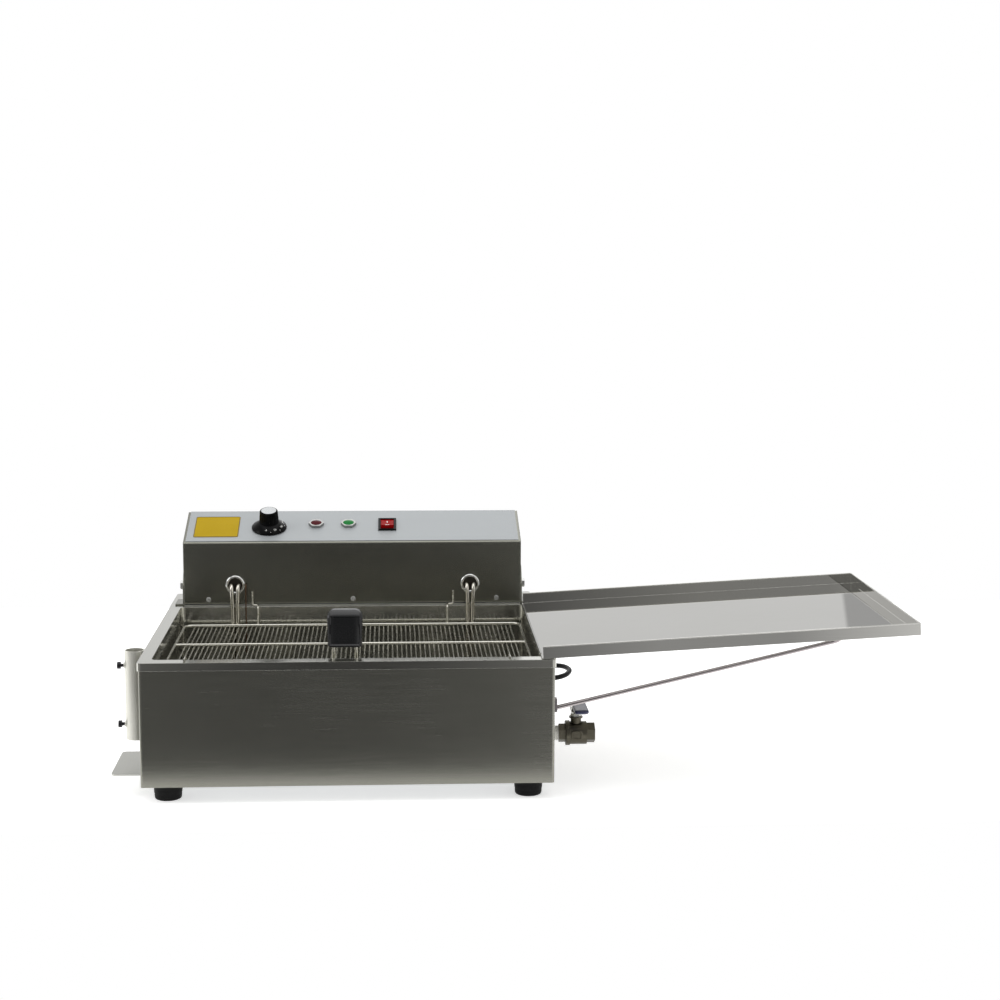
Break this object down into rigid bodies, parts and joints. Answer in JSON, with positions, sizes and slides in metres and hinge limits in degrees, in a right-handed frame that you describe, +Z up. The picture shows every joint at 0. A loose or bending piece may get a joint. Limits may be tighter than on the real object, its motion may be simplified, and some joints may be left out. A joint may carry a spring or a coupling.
{
  "type": "countertop donut fryer",
  "caption": "Countertop donut fryer: shallow oil tank in a steel casing with a control head, lift-out frying screen, drain valve, tilting draining tray and a post socket.",
  "frame": {"origin": "middle of the object's footprint, without its cord, on the floor", "axes": "+X to the right, from the tank to the tray's free end; +Y from the front to the control head; +Z up"},
  "size_m": [1.1838, 0.7052, 0.368],
  "materials": {
    "casing_steel": "satin stainless sheet",
    "base_zinc": "dull galvanised sheet",
    "tank_steel": "bright rolled stainless sheet",
    "tray_steel": "bright rolled stainless sheet",
    "fitting_steel": "satin stainless",
    "head_steel": "satin stainless sheet",
    "rod_steel": "drawn rod",
    "screen_steel": "plated wire",
    "bright_chrome": "polished plate",
    "element_sheath": "heat-tinted tube",
    "valve_cast": "blasted casting",
    "lever_steel": "stainless strip",
    "valve_steel": "turned stainless",
    "seat_white": "smooth sealing ring",
    "sleeve_blue": "dipped vinyl",
    "zinc_screw": "zinc plated",
    "black_screw": "black oxide",
    "panel_silver": "satin silver-grey",
    "label_yellow": "plain, semi-gloss",
    "lens_red": "clear tinted",
    "lens_green": "clear tinted",
    "switch_black": "fine grain",
    "rocker_red": "smooth",
    "knob_black": "phenolic",
    "knob_disc": "pale satin",
    "ceramic_cream": "moulded",
    "bulb_copper": "dull",
    "grip_black": "phenolic",
    "foot_rubber": "moulded",
    "cord_rubber": "smooth sheath",
    "plug_black": "moulded",
    "blade_brass": "bright"
  },
  "bodies": {
    "fryer": {"casing": "casing_steel", "base_plate": "base_zinc", "oil_tank": "tank_steel", "rubber_feet": "foot_rubber", "foot_screws": "zinc_screw", "drain_nipple": "fitting_steel", "valve_end_cap": "valve_cast", "valve_body": "valve_cast", "valve_seats": "seat_white", "packing_nut": "valve_steel", "post_tube": "fitting_steel", "post_saddles": "fitting_steel", "post_plate": "fitting_steel", "head_shell": "head_steel", "head_end_plates": "head_steel", "head_base": "base_zinc", "control_panel": "panel_silver", "head_screws": "zinc_screw", "head_brackets": "fitting_steel", "bracket_bolts": "black_screw", "label_plate": "label_yellow", "lamp_bezels": "bright_chrome", "red_lens": "lens_red", "green_lens": "lens_green", "switch_housing": "switch_black", "thermostat_body": "ceramic_cream", "thermostat_bulb": "bulb_copper", "limit_thermostat": "ceramic_cream", "contactor": "ceramic_cream", "terminal_block": "ceramic_cream", "element_left": "element_sheath", "element_right": "element_sheath", "element_rings": "bright_chrome", "element_rests": "fitting_steel", "strut_clips": "fitting_steel", "cord_gland": "plug_black", "cord_lead": "cord_rubber", "cord_coil": "cord_rubber", "coil_tie": "plug_black", "plug": "plug_black", "plug_blades": "blade_brass"},
    "knob": {"knob": "knob_black", "knob_cap": "knob_disc", "thermostat_shaft": "valve_steel"},
    "rocker": {"switch_rocker": "rocker_red"},
    "valve_handle": {"valve_lever": "lever_steel", "lever_sleeve": "sleeve_blue", "valve_stem": "valve_steel", "valve_ball": "valve_steel", "lever_nut": "valve_steel"},
    "tray": {"drain_tray": "tray_steel", "tray_lugs": "fitting_steel"},
    "strut": {"strut": "rod_steel"},
    "screen": {"screen_frame": "screen_steel", "screen_wires": "screen_steel", "screen_hooks": "screen_steel", "handle_wire": "screen_steel", "handle_grip": "grip_black"},
    "clamp_upper": {"clamp_screw_upper": "black_screw"},
    "clamp_lower": {"clamp_screw_lower": "black_screw"}
  },
  "joints": [
    {"name": "tray_tilt", "type": "hinge", "parent": "fryer", "child": "tray", "pos_m": [0.03575, -0.057, 0.21], "axis": [0, -1, 0], "range_deg": [0, 85]},
    {"name": "strut_fold", "type": "hinge", "parent": "tray", "child": "strut", "pos_m": [0.48038, -0.057, 0.22911], "axis": [0, 1, 0], "range_deg": [0, 9.22]},
    {"name": "knob_turn", "type": "hinge", "parent": "fryer", "child": "knob", "pos_m": [-0.38495, 0.20517, 0.33159], "axis": [0, -0.3319, 0.9433], "range_deg": [-270, 0]},
    {"name": "rocker_tilt", "type": "hinge", "parent": "fryer", "child": "rocker", "pos_m": [-0.18795, 0.21271, 0.33425], "axis": [1, 0, 0], "range_deg": [0, 23.31]},
    {"name": "valve_turn", "type": "hinge", "parent": "fryer", "child": "valve_handle", "pos_m": [0.09955, -0.13, 0.063], "axis": [0, 0, 1], "range_deg": [0, 90]},
    {"name": "screen_lift", "type": "slide", "parent": "fryer", "child": "screen", "axis": [0, 0, 1], "range_m": [0, 0.2]},
    {"name": "clamp_upper_in", "type": "slide", "parent": "fryer", "child": "clamp_upper", "axis": [1, 0, 0], "range_m": [0, 0.0042]},
    {"name": "clamp_lower_in", "type": "slide", "parent": "fryer", "child": "clamp_lower", "axis": [1, 0, 0], "range_m": [0, 0.0042]}
  ],
  "couplings": [
    {"joint": "strut_fold", "follows": "tray_tilt", "ratio": 0.108}
  ]
}
